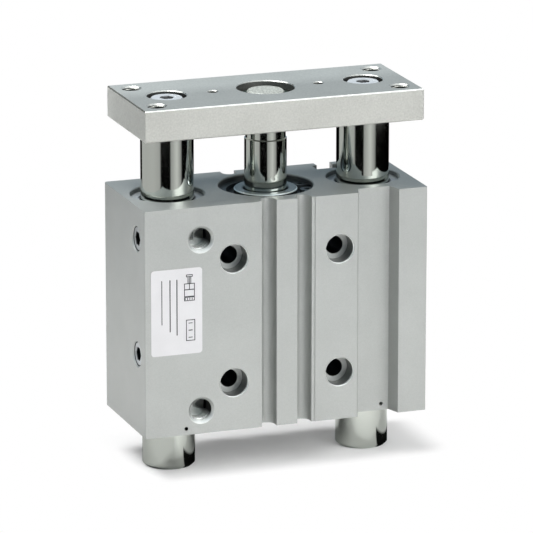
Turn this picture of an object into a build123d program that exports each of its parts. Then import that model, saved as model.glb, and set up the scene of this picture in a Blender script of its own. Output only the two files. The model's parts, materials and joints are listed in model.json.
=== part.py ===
from build123d import *
import os

# Compact guided air cylinder: a double acting bore between two guide rods in one extruded body,
# and a tool plate that joins the piston rod to the guide rods.
# Sizes are in millimetres. +Z is the way the plate moves out and -Y is the face with the ports.
# The origin is under the middle of the body, level with the feet of the guide rods.
# Threads are cut to their root size and have no helix.

# Travel, and where the plate stands at rest
stroke = 50.0
rest_extension = 15.5
closed_gap = 10.0
foot_reach = 33.5

# Clearances
running_play = 0.05
moving_gap = 0.3
seat_play = 0.02
bumper_play = 0.1

# Body extrusion
body_width = 112.0
body_depth = 48.0
body_edge = 0.4
body_back_left_edge = 1.2
rim_chamfer = 0.3

# Sensor grooves, two in the front and two in the back
groove_spacing = 14.0
front_groove_mouth = 5.8
front_groove_depth = 5.0
back_groove_mouth = 5.6
back_groove_depth = 5.1
groove_lip_width = 1.3
groove_lip_depth = 0.3

# Wide recess in the front, over the right guide rod, with sloping walls
recess_inner_reach = 10.5
recess_outer_reach = 5.7
recess_slope = 1.8
recess_depth = 5.6
recess_edge = 0.4

# T slots in the back
t_slot_spacing = 62.8
t_slot_mouth = 6.5
t_slot_lip = 3.5
t_slot_width = 10.5
t_slot_height = 5.5

# Mounting holes right through the body, counterbored in front and tapped at the back
mount_hole_diameter = 6.8
mount_hole_spacing_z = 48.0
mount_hole_low = 18.5
mount_counterbore_diameter = 11.0
mount_counterbore_depth = 6.5

# Tapped holes in the bottom face
base_hole_diameter = 6.8
base_hole_depth = 20.0
base_hole_edge = 7.0
thread_mouth_chamfer = 0.6

# Air ports and the drillings that join them
port_diameter = 8.56
port_mouth_diameter = 10.3
port_depth = 8.5
port_from_guide = 5.0
port_low = 9.0
port_from_top = 12.5
side_port_depth = 6.5
side_port_from_front = 9.6
side_port_low = 30.5
passage_diameter = 4.5
passage_from_side_port = 2.0
riser_from_port = 3.0
oblique_diameter = 3.5
oblique_from_front = 7.0
oblique_end_x = 12.0
oblique_end_y = 9.0
pin_hole_diameter = 1.5
pin_hole_depth = 3.0
pin_hole_height = 2.4
pin_hole_from_guide = 1.0

# Bore, piston and bumpers
bore_diameter = 32.0
piston_length = 13.3
piston_relief_depth = 1.2
rear_relief_length = 1.5
front_relief_length = 1.0
ring_groove_depth = 3.0
magnet_low = 2.3
magnet_height = 2.6
guide_ring_low = 5.6
guide_ring_height = 3.0
guide_ring_thickness = 1.5
piston_seal_low = 9.3
piston_seal_height = 2.4
rear_bumper_height = 1.5
front_bumper_height = 2.0
bumper_inner_diameter = 20.0
bumper_outer_diameter = 27.0

# Rear cover and its snap ring
rear_seat_step = 1.0
rear_ring_recess = 0.9
rear_cover_thickness = 3.6
rear_cover_dish_diameter = 22.0
rear_cover_dish_depth = 1.0

# Front cover, which carries the rod bush, the rod seal and the wiper
front_seat_step = 2.0
front_ring_recess = 2.0
front_flange_thickness = 4.0
cover_plug_length = 7.0
hub_diameter = 24.0
hub_rise = 2.5
hub_chamfer = 0.4
cover_play = 0.05
cover_relief_depth = 1.5
cover_relief_length = 3.4

# Snap rings
snap_ring_thickness = 1.5
snap_ring_groove_depth = 1.0
snap_ring_width = 4.0
snap_ring_lug_radius = 2.7
snap_ring_lug_hole = 2.2
snap_ring_gap = 3.0
snap_ring_play = 0.1

# Static seals
o_ring_groove_depth = 1.5
o_ring_groove_width = 2.2
o_ring_height = 2.0
o_ring_corner = 0.6

# Piston rod and what surrounds it
rod_diameter = 16.0
rod_neck_diameter = 15.2
rod_neck_length = 6.8
rod_spigot_diameter = 14.0
rod_top_recess = 1.0
rod_tail_diameter = 10.0
rod_tail_end = 0.4
rod_end_chamfer = 0.5
rod_bush_wall = 1.0
rod_bush_length = 6.0
rod_seal_wall = 0.6
rod_seal_height = 2.8
rod_seal_section = 2.5
wiper_base_height = 2.2
wiper_base_section = 2.4
wiper_lip_section = 0.6
wiper_lip_height = 1.0
wiper_mouth = 1.1

# Nuts on the piston rod
piston_nut_flats = 17.0
piston_nut_height = 5.4
piston_nut_seat = 6.0
piston_nut_pocket_diameter = 20.4
plate_nut_diameter = 20.8
plate_nut_height = 5.0
plate_nut_slot_width = 3.0
plate_nut_slot_depth = 1.8
plate_nut_slots = 4

# Guide rods, bushes and scrapers
guide_edge = 17.0
guide_rod_diameter = 20.0
guide_rod_chamfer = 1.0
guide_bore_diameter = 22.0
guide_bush_wall = 2.95
guide_bush_length = 18.0
lower_bush_recess = 4.5
scraper_recess_diameter = 28.0
scraper_recess_depth = 6.0
scraper_height = 4.2
scraper_lip_height = 0.5
scraper_lip_width = 0.8
lower_ring_thickness = 1.2
lower_ring_groove_depth = 0.7
lower_ring_width = 1.7

# Tool plate
plate_width = 110.0
plate_depth = 45.0
plate_thickness = 12.0
plate_corner = 0.5
plate_chamfer = 0.4
plate_hole_end_distance = 7.0
plate_hole_side_distance = 7.5
plate_hole_diameter = 6.8
dowel_spacing = 42.0
dowel_diameter = 4.0
dowel_chamfer = 0.3
plate_nut_counterbore_diameter = 22.0
plate_nut_counterbore_depth = 8.0

# Screws that hold the guide rods to the plate
screw_diameter = 8.0
screw_thread_diameter = 6.7
screw_head_diameter = 13.0
screw_head_height = 8.0
screw_head_recess = 0.8
screw_head_chamfer = 0.8
screw_socket_flats = 5.0
screw_socket_depth = 4.0
screw_thread_reach = 18.0
screw_hole_diameter = 8.8
screw_counterbore_diameter = 15.0
screw_tapping_diameter = 6.8
screw_tapping_depth = 22.0

# Plugs in the side ports and at the foot of the vertical drilling
plug_diameter = 8.5
plug_length = 5.5
plug_recess = 0.6
plug_socket_flats = 5.0
plug_socket_depth = 3.5
ball_depth = 2.5

# Levels worked out from the sizes above, as what stands in the bore stacks up on the stroke
body_bottom = foot_reach - rest_extension
rear_ring_low = body_bottom + rear_ring_recess
rear_cover_low = rear_ring_low + snap_ring_thickness
rear_cover_high = rear_cover_low + rear_cover_thickness
piston_closed = rear_cover_high + rear_bumper_height + bumper_play
piston_low = piston_closed + rest_extension
piston_high = piston_low + piston_length
cover_inner = piston_closed + piston_length + stroke + bumper_play + front_bumper_height
cover_groove_low = cover_inner + cover_relief_length + moving_gap
front_seat = cover_inner + cover_plug_length
front_ring_low = front_seat + front_flange_thickness
front_ring_high = front_ring_low + snap_ring_thickness
hub_top = front_ring_low + hub_rise
body_top = front_ring_high + front_ring_recess
body_height = body_top - body_bottom
plate_bottom = body_top + closed_gap + rest_extension
plate_top = plate_bottom + plate_thickness

bore_radius = bore_diameter / 2
rod_radius = rod_diameter / 2
rod_clear_radius = rod_radius + moving_gap
rear_seat_radius = bore_radius + rear_seat_step
front_seat_radius = bore_radius + front_seat_step

guide_spacing = body_width - 2 * guide_edge
left_guide = -guide_spacing / 2
right_guide = guide_spacing / 2
guide_radius = guide_rod_diameter / 2
guide_bush_radius = guide_radius + running_play + guide_bush_wall
scraper_radius = scraper_recess_diameter / 2
scraper_seat = body_top - scraper_recess_depth
upper_bush_low = scraper_seat - guide_bush_length
lower_bush_low = body_bottom + lower_bush_recess
lower_bush_high = lower_bush_low + guide_bush_length
lower_ring_low = lower_bush_low - lower_ring_thickness

# Holes that pass between the bore, the guide bushes and the faces of the body
mount_hole_spacing_x = bore_radius + right_guide - guide_bush_radius
base_hole_spacing_x = body_width - 2 * base_hole_edge
base_hole_spacing_y = body_depth - 2 * base_hole_edge
port_x = left_guide + port_from_guide
side_port_y = side_port_from_front - body_depth / 2
passage_y = side_port_y - passage_from_side_port
riser_x = port_x - riser_from_port
riser_y = -(guide_bush_radius + body_depth / 2) / 2
oblique_y = oblique_from_front - body_depth / 2

plate_hole_spacing_x = plate_width - 2 * plate_hole_end_distance
plate_hole_spacing_y = plate_depth - 2 * plate_hole_side_distance
plate_nut_seat = plate_top - plate_nut_counterbore_depth
screw_head_low = plate_top - screw_head_recess - screw_head_height
screw_low = plate_bottom - screw_thread_reach
port_high = body_height - port_from_top

front_face = Plane(origin=(0, -body_depth / 2, body_bottom), x_dir=(1, 0, 0), z_dir=(0, -1, 0))
left_face = Plane(origin=(-body_width / 2, 0, body_bottom), x_dir=(0, -1, 0), z_dir=(-1, 0, 0))
bottom_face = Plane(origin=(0, 0, body_bottom), x_dir=(1, 0, 0), z_dir=(0, 0, -1))

os.makedirs("parts", exist_ok=True)


def turn(*outline, centre=0.0, mode=Mode.ADD):
    """Turn a half section, given as (radius, height) points, about an upright axis."""
    upright = Plane(origin=(centre, 0, 0), x_dir=(1, 0, 0), z_dir=(0, -1, 0))
    with BuildSketch(upright) as half_section:
        with BuildLine():
            Polyline(*outline, close=True)
        make_face()
    revolve(half_section.sketch, axis=Axis((centre, 0, 0), (0, 0, 1)), mode=mode)


def turn_soft(inner, outer, low, high, centre=0.0, corner=o_ring_corner):
    """Turn the squeezed section of a seal, a block with rounded corners."""
    upright = Plane(origin=(centre, 0, 0), x_dir=(1, 0, 0), z_dir=(0, -1, 0))
    with BuildSketch(upright) as seal_section:
        with Locations(((inner + outer) / 2, (low + high) / 2)):
            RectangleRounded(outer - inner, high - low, corner)
    revolve(seal_section.sketch, axis=Axis((centre, 0, 0), (0, 0, 1)))


def drill(start, end, diameter):
    """Cut a straight round hole from one point to another."""
    direction = Vector(*end) - Vector(*start)
    with BuildSketch(Plane(origin=start, z_dir=direction)) as drill_section:
        Circle(diameter / 2)
    extrude(drill_section.sketch, amount=direction.length, mode=Mode.SUBTRACT)


def snap_ring(seat_radius, low):
    """Add an internal snap ring with two plier lugs that face +X."""
    outer = seat_radius + snap_ring_groove_depth - snap_ring_play
    inner = outer - snap_ring_width
    lug_centre = outer - snap_ring_groove_depth - snap_ring_play - snap_ring_lug_radius
    lug_spacing = snap_ring_gap + 2 * snap_ring_lug_radius
    with BuildSketch(Plane.XY.offset(low)) as ring_section:
        Circle(outer)
        Circle(inner, mode=Mode.SUBTRACT)
        with Locations((lug_centre, 0)):
            with GridLocations(1, lug_spacing, 1, 2):
                Circle(snap_ring_lug_radius)
        with Locations((outer, 0)):
            Rectangle(4 * snap_ring_width, snap_ring_gap, mode=Mode.SUBTRACT)
        with Locations((lug_centre, 0)):
            with GridLocations(1, lug_spacing, 1, 2):
                Circle(snap_ring_lug_hole / 2, mode=Mode.SUBTRACT)
    extrude(ring_section.sketch, amount=snap_ring_thickness)


# Body: one extrusion, then the bores, the mounting holes and the air ways
with BuildPart() as cylinder_body:
    with BuildSketch(Plane.XY.offset(body_bottom)) as body_section:
        Rectangle(body_width, body_depth)
        corners = body_section.vertices()
        back_left = corners.group_by(Axis.X)[0].sort_by(Axis.Y)[-1]
        fillet(back_left, body_back_left_edge)
        sharp_corners = body_section.vertices().group_by(Axis.X)[-1]
        front_left = body_section.vertices().group_by(Axis.Y)[0].sort_by(Axis.X)[0]
        fillet(sharp_corners + [front_left], body_edge)
        with Locations((0, -body_depth / 2)):
            with GridLocations(groove_spacing, 1, 2, 1):
                SlotOverall(2 * front_groove_depth, front_groove_mouth, rotation=90, mode=Mode.SUBTRACT)
            with GridLocations(groove_spacing + front_groove_mouth + groove_lip_width, 1, 2, 1):
                Rectangle(groove_lip_width, 2 * groove_lip_depth, mode=Mode.SUBTRACT)
        with Locations((0, body_depth / 2)):
            with GridLocations(groove_spacing, 1, 2, 1):
                SlotOverall(2 * back_groove_depth, back_groove_mouth, rotation=90, mode=Mode.SUBTRACT)
            with GridLocations(t_slot_spacing, 1, 2, 1):
                Rectangle(t_slot_mouth, 2 * (t_slot_lip + t_slot_height), mode=Mode.SUBTRACT)
        with Locations((0, body_depth / 2 - t_slot_lip - t_slot_height / 2)):
            with GridLocations(t_slot_spacing, 1, 2, 1):
                Rectangle(t_slot_width, t_slot_height, mode=Mode.SUBTRACT)
        with BuildLine():
            Polyline(
                (right_guide - recess_inner_reach - recess_edge, -body_depth / 2),
                (right_guide - recess_inner_reach, recess_edge - body_depth / 2),
                (right_guide - recess_inner_reach + recess_slope, recess_depth - body_depth / 2),
                (right_guide + recess_outer_reach - recess_slope, recess_depth - body_depth / 2),
                (right_guide + recess_outer_reach, -body_depth / 2),
                close=True,
            )
        make_face(mode=Mode.SUBTRACT)
    extrude(amount=body_height)

    # Bore for the piston with a seat for each cover and a groove for each snap ring
    turn(
        (0, body_bottom),
        (rear_seat_radius, body_bottom),
        (rear_seat_radius, rear_ring_low),
        (rear_seat_radius + snap_ring_groove_depth, rear_ring_low),
        (rear_seat_radius + snap_ring_groove_depth, rear_cover_low),
        (rear_seat_radius, rear_cover_low),
        (rear_seat_radius, rear_cover_high),
        (bore_radius, rear_cover_high),
        (bore_radius, front_seat),
        (front_seat_radius, front_seat),
        (front_seat_radius, front_ring_low),
        (front_seat_radius + snap_ring_groove_depth, front_ring_low),
        (front_seat_radius + snap_ring_groove_depth, front_ring_high),
        (front_seat_radius, front_ring_high),
        (front_seat_radius, body_top),
        (0, body_top),
        mode=Mode.SUBTRACT,
    )

    # Stepped bore for each guide rod, its two bushes, its scraper and its lower ring
    for centre in (left_guide, right_guide):
        turn(
            (0, body_bottom),
            (guide_bush_radius, body_bottom),
            (guide_bush_radius, lower_ring_low),
            (guide_bush_radius + lower_ring_groove_depth, lower_ring_low),
            (guide_bush_radius + lower_ring_groove_depth, lower_bush_low),
            (guide_bush_radius, lower_bush_low),
            (guide_bush_radius, lower_bush_high),
            (guide_bore_diameter / 2, lower_bush_high),
            (guide_bore_diameter / 2, upper_bush_low),
            (guide_bush_radius, upper_bush_low),
            (guide_bush_radius, scraper_seat),
            (scraper_radius, scraper_seat),
            (scraper_radius, body_top),
            (0, body_top),
            centre=centre,
            mode=Mode.SUBTRACT,
        )

    # Counterbored mounting holes
    with Locations(front_face):
        with Locations((0, mount_hole_low + mount_hole_spacing_z / 2)):
            with GridLocations(mount_hole_spacing_x, mount_hole_spacing_z, 2, 2):
                CounterBoreHole(
                    mount_hole_diameter / 2,
                    mount_counterbore_diameter / 2,
                    mount_counterbore_depth,
                )

    # Tapped holes in the bottom
    with Locations(bottom_face):
        with GridLocations(base_hole_spacing_x, base_hole_spacing_y, 2, 2):
            CounterSinkHole(
                base_hole_diameter / 2,
                base_hole_diameter / 2 + thread_mouth_chamfer,
                base_hole_depth,
                counter_sink_angle=90,
            )

    # Front ports and side ports
    with Locations(front_face):
        with Locations((port_x, port_low), (port_x, port_high)):
            CounterSinkHole(port_diameter / 2, port_mouth_diameter / 2, port_depth, counter_sink_angle=90)
        with Locations((left_guide - pin_hole_from_guide, pin_hole_height)):
            Hole(pin_hole_diameter / 2, pin_hole_depth)
        with Locations((right_guide + pin_hole_from_guide, pin_hole_height)):
            Hole(pin_hole_diameter / 2, recess_depth + pin_hole_depth)
    with Locations(left_face):
        with Locations((-side_port_y, side_port_low), (-side_port_y, port_high)):
            CounterSinkHole(
                port_diameter / 2, port_mouth_diameter / 2, side_port_depth, counter_sink_angle=90
            )

    # Cross drillings from the side ports, and the riser down to the lower front port
    side_port_floor = side_port_depth - body_width / 2
    drill(
        (side_port_floor, passage_y, body_bottom + port_high),
        (port_x, passage_y, body_bottom + port_high),
        passage_diameter,
    )
    drill(
        (side_port_floor, passage_y, body_bottom + side_port_low),
        (riser_x, passage_y, body_bottom + side_port_low),
        passage_diameter,
    )
    drill(
        (riser_x, riser_y, body_bottom),
        (riser_x, riser_y, body_bottom + side_port_low + passage_diameter / 2),
        passage_diameter,
    )

    # Oblique passages into the two ends of the bore
    drill(
        (port_x, oblique_y, body_bottom + port_high),
        (-oblique_end_x, -oblique_end_y, cover_inner + cover_relief_length / 2),
        oblique_diameter,
    )
    drill(
        (port_x, oblique_y, body_bottom + port_low),
        (-oblique_end_x, -oblique_end_y, rear_cover_high + oblique_diameter / 2),
        oblique_diameter,
    )

    # Broken edges round the counterbores in front and the openings on top
    front_circles = cylinder_body.faces().filter_by(Axis.Y).group_by(Axis.Y)[0].edges()
    counterbore_rims = front_circles.filter_by(GeomType.CIRCLE).filter_by(
        lambda rim: abs(rim.radius - mount_counterbore_diameter / 2) < seat_play
    )
    chamfer(counterbore_rims, rim_chamfer)
    top_rims = cylinder_body.faces().sort_by(Axis.Z)[-1].edges().filter_by(GeomType.CIRCLE)
    chamfer(top_rims.filter_by(lambda rim: rim.radius > guide_radius), rim_chamfer)

cylinder_body.part.label = "cylinder_body"
export_step(cylinder_body.part, "parts/cylinder_body.step")

# Front cover: a plug in the bore, a flange on its seat and a hub round the rod
bush_outer_radius = rod_radius + running_play + rod_bush_wall
bush_high = cover_inner + rod_bush_length
rod_seal_z = bush_high + rod_seal_wall
wiper_low = hub_top - wiper_mouth - wiper_base_height
plug_radius = bore_radius - cover_play
cover_groove_radius = bore_radius - o_ring_groove_depth
with BuildPart() as front_cover:
    turn(
        (bush_outer_radius, cover_inner),
        (plug_radius - cover_relief_depth, cover_inner),
        (plug_radius - cover_relief_depth, cover_inner + cover_relief_length),
        (plug_radius, cover_inner + cover_relief_length),
        (plug_radius, cover_groove_low),
        (cover_groove_radius, cover_groove_low),
        (cover_groove_radius, cover_groove_low + o_ring_groove_width),
        (plug_radius, cover_groove_low + o_ring_groove_width),
        (plug_radius, front_seat),
        (front_seat_radius - cover_play, front_seat),
        (front_seat_radius - cover_play, front_ring_low),
        (hub_diameter / 2, front_ring_low),
        (hub_diameter / 2, hub_top - hub_chamfer),
        (hub_diameter / 2 - hub_chamfer, hub_top),
        (rod_radius + wiper_lip_section + hub_chamfer, hub_top),
        (rod_radius + wiper_lip_section, hub_top - hub_chamfer),
        (rod_radius + wiper_lip_section, wiper_low + wiper_base_height),
        (rod_radius + wiper_base_section, wiper_low + wiper_base_height),
        (rod_radius + wiper_base_section, wiper_low),
        (rod_clear_radius, wiper_low),
        (rod_clear_radius, rod_seal_z + rod_seal_height),
        (rod_radius + rod_seal_section, rod_seal_z + rod_seal_height),
        (rod_radius + rod_seal_section, rod_seal_z),
        (rod_clear_radius, rod_seal_z),
        (rod_clear_radius, bush_high),
        (bush_outer_radius, bush_high),
    )
front_cover.part.label = "front_cover"
export_step(front_cover.part, "parts/front_cover.step")

# Plain bush that guides the piston rod
with BuildPart() as rod_bush:
    turn(
        (rod_radius + running_play, cover_inner),
        (bush_outer_radius - seat_play, cover_inner),
        (bush_outer_radius - seat_play, bush_high),
        (rod_radius + running_play, bush_high),
    )
rod_bush.part.label = "rod_bush"
export_step(rod_bush.part, "parts/rod_bush.step")

# Rod seal in its groove in the cover
with BuildPart() as rod_seal:
    turn_soft(
        rod_clear_radius,
        rod_radius + rod_seal_section - seat_play,
        rod_seal_z + seat_play,
        rod_seal_z + rod_seal_height - seat_play,
    )
rod_seal.part.label = "rod_seal"
export_step(rod_seal.part, "parts/rod_seal.step")

# Wiper: a base held in the hub and a thin lip that stands up round the rod
wiper_shoulder = wiper_low + wiper_base_height - seat_play
wiper_top = wiper_shoulder + wiper_lip_height
with BuildPart() as rod_wiper:
    turn(
        (rod_clear_radius, wiper_low + seat_play),
        (rod_radius + wiper_base_section - seat_play, wiper_low + seat_play),
        (rod_radius + wiper_base_section - seat_play, wiper_shoulder),
        (rod_radius + wiper_lip_section - seat_play, wiper_shoulder),
        (rod_clear_radius + seat_play, wiper_top),
        (rod_clear_radius, wiper_top),
    )
rod_wiper.part.label = "rod_wiper"
export_step(rod_wiper.part, "parts/rod_wiper.step")

# Static seal of the front cover
cover_groove_gap = (o_ring_groove_width - o_ring_height) / 2
with BuildPart() as front_cover_o_ring:
    turn_soft(
        cover_groove_radius + seat_play,
        bore_radius - seat_play,
        cover_groove_low + cover_groove_gap,
        cover_groove_low + cover_groove_gap + o_ring_height,
    )
front_cover_o_ring.part.label = "front_cover_o_ring"
export_step(front_cover_o_ring.part, "parts/front_cover_o_ring.step")

# Snap ring that keeps the front cover in
with BuildPart() as front_retaining_ring:
    snap_ring(front_seat_radius, front_ring_low)
front_retaining_ring.part.label = "front_retaining_ring"
export_step(front_retaining_ring.part, "parts/front_retaining_ring.step")

# Bumper under the front cover
with BuildPart() as front_bumper:
    turn_soft(
        bumper_inner_diameter / 2,
        bumper_outer_diameter / 2,
        cover_inner - front_bumper_height,
        cover_inner,
    )
front_bumper.part.label = "front_bumper"
export_step(front_bumper.part, "parts/front_bumper.step")

# Rear cover: a dished disc with a seal groove round it
rear_cover_radius = rear_seat_radius - cover_play
rear_groove_radius = rear_seat_radius - o_ring_groove_depth
rear_groove_low = rear_cover_low + (rear_cover_thickness - o_ring_groove_width) / 2
with BuildPart() as rear_cover:
    turn(
        (0, rear_cover_low + rear_cover_dish_depth),
        (rear_cover_dish_diameter / 2 - rear_cover_dish_depth, rear_cover_low + rear_cover_dish_depth),
        (rear_cover_dish_diameter / 2, rear_cover_low),
        (rear_cover_radius, rear_cover_low),
        (rear_cover_radius, rear_groove_low),
        (rear_groove_radius, rear_groove_low),
        (rear_groove_radius, rear_groove_low + o_ring_groove_width),
        (rear_cover_radius, rear_groove_low + o_ring_groove_width),
        (rear_cover_radius, rear_cover_high),
        (0, rear_cover_high),
    )
rear_cover.part.label = "rear_cover"
export_step(rear_cover.part, "parts/rear_cover.step")

# Static seal of the rear cover
with BuildPart() as rear_cover_o_ring:
    turn_soft(
        rear_groove_radius + seat_play,
        rear_seat_radius - seat_play,
        rear_groove_low + cover_groove_gap,
        rear_groove_low + cover_groove_gap + o_ring_height,
    )
rear_cover_o_ring.part.label = "rear_cover_o_ring"
export_step(rear_cover_o_ring.part, "parts/rear_cover_o_ring.step")

# Snap ring that keeps the rear cover in
with BuildPart() as rear_retaining_ring:
    snap_ring(rear_seat_radius, rear_ring_low)
rear_retaining_ring.part.label = "rear_retaining_ring"
export_step(rear_retaining_ring.part, "parts/rear_retaining_ring.step")

# Bumper on the rear cover
with BuildPart() as rear_bumper:
    turn_soft(
        bumper_inner_diameter / 2,
        bumper_outer_diameter / 2,
        rear_cover_high,
        rear_cover_high + rear_bumper_height,
    )
rear_bumper.part.label = "rear_bumper"
export_step(rear_bumper.part, "parts/rear_bumper.step")

# Guide rods and what holds them in the body
for side, centre in (("left", left_guide), ("right", right_guide)):
    with BuildPart() as guide_rod:
        turn(
            (0, 0),
            (guide_radius - guide_rod_chamfer, 0),
            (guide_radius, guide_rod_chamfer),
            (guide_radius, plate_bottom),
            (screw_tapping_diameter / 2, plate_bottom),
            (screw_tapping_diameter / 2, plate_bottom - screw_tapping_depth),
            (0, plate_bottom - screw_tapping_depth),
            centre=centre,
        )
    guide_rod.part.label = f"{side}_guide_rod"
    export_step(guide_rod.part, f"parts/{side}_guide_rod.step")

    for level, bush_low in (("upper", upper_bush_low), ("lower", lower_bush_low)):
        with BuildPart() as guide_bush:
            turn(
                (guide_radius + running_play, bush_low),
                (guide_bush_radius - seat_play, bush_low),
                (guide_bush_radius - seat_play, bush_low + guide_bush_length),
                (guide_radius + running_play, bush_low + guide_bush_length),
                centre=centre,
            )
        guide_bush.part.label = f"{side}_{level}_guide_bush"
        export_step(guide_bush.part, f"parts/{side}_{level}_guide_bush.step")

    with BuildPart() as guide_scraper:
        turn(
            (guide_radius + moving_gap, scraper_seat),
            (scraper_radius - seat_play, scraper_seat),
            (scraper_radius - seat_play, scraper_seat + scraper_height),
            (guide_radius + scraper_lip_width, scraper_seat + scraper_height),
            (guide_radius + scraper_lip_width, scraper_seat + scraper_height - scraper_lip_height),
            (guide_radius + moving_gap, scraper_seat + scraper_height),
            centre=centre,
        )
    guide_scraper.part.label = f"{side}_guide_scraper"
    export_step(guide_scraper.part, f"parts/{side}_guide_scraper.step")

    lower_ring_outer = guide_bush_radius + lower_ring_groove_depth - snap_ring_play
    with BuildPart() as lower_retaining_ring:
        with BuildSketch(Plane.XY.offset(lower_ring_low)):
            with Locations((centre, 0)):
                Circle(lower_ring_outer)
                Circle(lower_ring_outer - lower_ring_width, mode=Mode.SUBTRACT)
                with Locations((0, lower_ring_outer)):
                    Rectangle(snap_ring_gap, 4 * lower_ring_width, mode=Mode.SUBTRACT)
        extrude(amount=lower_ring_thickness)
    lower_retaining_ring.part.label = f"{side}_lower_retaining_ring"
    export_step(lower_retaining_ring.part, f"parts/{side}_lower_retaining_ring.step")

# Plugs in the two side ports
with BuildPart() as side_port_plugs:
    for height in (side_port_low, port_high):
        plug_plane = Plane(
            origin=(plug_recess - body_width / 2, side_port_y, body_bottom + height),
            x_dir=(0, -1, 0),
            z_dir=(-1, 0, 0),
        )
        with BuildSketch(plug_plane):
            Circle(plug_diameter / 2)
        extrude(amount=-plug_length)
        with BuildSketch(plug_plane):
            RegularPolygon(plug_socket_flats / 2, 6, major_radius=False)
        extrude(amount=-plug_socket_depth, mode=Mode.SUBTRACT)
side_port_plugs.part.label = "side_port_plugs"
export_step(side_port_plugs.part, "parts/side_port_plugs.step")

# Ball pressed into the foot of the vertical drilling
ball_radius = passage_diameter / 2 - seat_play
with BuildPart() as passage_plug_ball:
    with Locations((riser_x, riser_y, body_bottom + ball_depth)):
        Sphere(ball_radius)
passage_plug_ball.part.label = "passage_plug_ball"
export_step(passage_plug_ball.part, "parts/passage_plug_ball.step")

# Tool plate with its tapped holes, dowel holes and counterbores
with BuildPart() as tool_plate:
    with BuildSketch(Plane.XY.offset(plate_bottom)) as plate_outline:
        RectangleRounded(plate_width, plate_depth, plate_corner)
    extrude(amount=plate_thickness)
    plate_faces = tool_plate.faces().filter_by(Axis.Z).sort_by(Axis.Z)
    chamfer(plate_faces[0].edges() + plate_faces[-1].edges(), plate_chamfer)
    with Locations((0, 0, plate_top)):
        CounterBoreHole(
            rod_spigot_diameter / 2 + seat_play,
            plate_nut_counterbore_diameter / 2,
            plate_nut_counterbore_depth,
        )
        with GridLocations(guide_spacing, 1, 2, 1):
            CounterBoreHole(
                screw_hole_diameter / 2,
                screw_counterbore_diameter / 2,
                screw_head_recess + screw_head_height,
            )
        with GridLocations(plate_hole_spacing_x, plate_hole_spacing_y, 2, 2):
            CounterSinkHole(
                plate_hole_diameter / 2,
                plate_hole_diameter / 2 + thread_mouth_chamfer,
                counter_sink_angle=90,
            )
        with GridLocations(dowel_spacing, 1, 2, 1):
            CounterSinkHole(dowel_diameter / 2, dowel_diameter / 2 + dowel_chamfer, counter_sink_angle=90)
    counterbore_edges = tool_plate.faces().sort_by(Axis.Z)[-1].edges().filter_by(GeomType.CIRCLE)
    chamfer(counterbore_edges.filter_by(lambda rim: rim.radius > screw_head_diameter / 2), rim_chamfer)
tool_plate.part.label = "tool_plate"
export_step(tool_plate.part, "parts/tool_plate.step")

# Socket head screws, one into each guide rod
with BuildPart() as guide_rod_screws:
    for centre in (left_guide, right_guide):
        head_top = screw_head_low + screw_head_height
        turn(
            (0, screw_low),
            (screw_thread_diameter / 2, screw_low),
            (screw_thread_diameter / 2, plate_bottom),
            (screw_diameter / 2, plate_bottom),
            (screw_diameter / 2, screw_head_low),
            (screw_head_diameter / 2, screw_head_low),
            (screw_head_diameter / 2, head_top - screw_head_chamfer),
            (screw_head_diameter / 2 - screw_head_chamfer, head_top),
            (0, head_top),
            centre=centre,
        )
        with BuildSketch(Plane.XY.offset(head_top)):
            with Locations((centre, 0)):
                RegularPolygon(screw_socket_flats / 2, 6, major_radius=False)
        extrude(amount=-screw_socket_depth, mode=Mode.SUBTRACT)
guide_rod_screws.part.label = "guide_rod_screws"
export_step(guide_rod_screws.part, "parts/guide_rod_screws.step")

# Piston rod: threaded tail through the piston, ground shank and a threaded spigot in the plate
rod_low = piston_low + rod_tail_end
rod_high = plate_top - rod_top_recess
rod_neck_radius = rod_neck_diameter / 2
neck_low = plate_bottom - rod_neck_length
with BuildPart() as piston_rod:
    turn(
        (0, rod_low),
        (rod_tail_diameter / 2 - rod_end_chamfer, rod_low),
        (rod_tail_diameter / 2, rod_low + rod_end_chamfer),
        (rod_tail_diameter / 2, piston_high),
        (rod_radius, piston_high),
        (rod_radius, neck_low + rod_neck_radius - rod_radius),
        (rod_neck_radius, neck_low),
        (rod_neck_radius, plate_bottom),
        (rod_spigot_diameter / 2, plate_bottom),
        (rod_spigot_diameter / 2, rod_high - rod_end_chamfer),
        (rod_spigot_diameter / 2 - rod_end_chamfer, rod_high),
        (0, rod_high),
    )
piston_rod.part.label = "piston_rod"
export_step(piston_rod.part, "parts/piston_rod.step")

# Slotted ring nut that clamps the plate to the rod's shoulder
with BuildPart() as plate_nut:
    with BuildSketch(Plane.XY.offset(plate_nut_seat)):
        Circle(plate_nut_diameter / 2)
        with PolarLocations(plate_nut_diameter / 2, plate_nut_slots):
            Rectangle(2 * plate_nut_slot_depth, plate_nut_slot_width, mode=Mode.SUBTRACT)
        Circle(rod_spigot_diameter / 2 + seat_play, mode=Mode.SUBTRACT)
    extrude(amount=plate_nut_height)
plate_nut.part.label = "plate_nut"
export_step(plate_nut.part, "parts/plate_nut.step")

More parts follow.
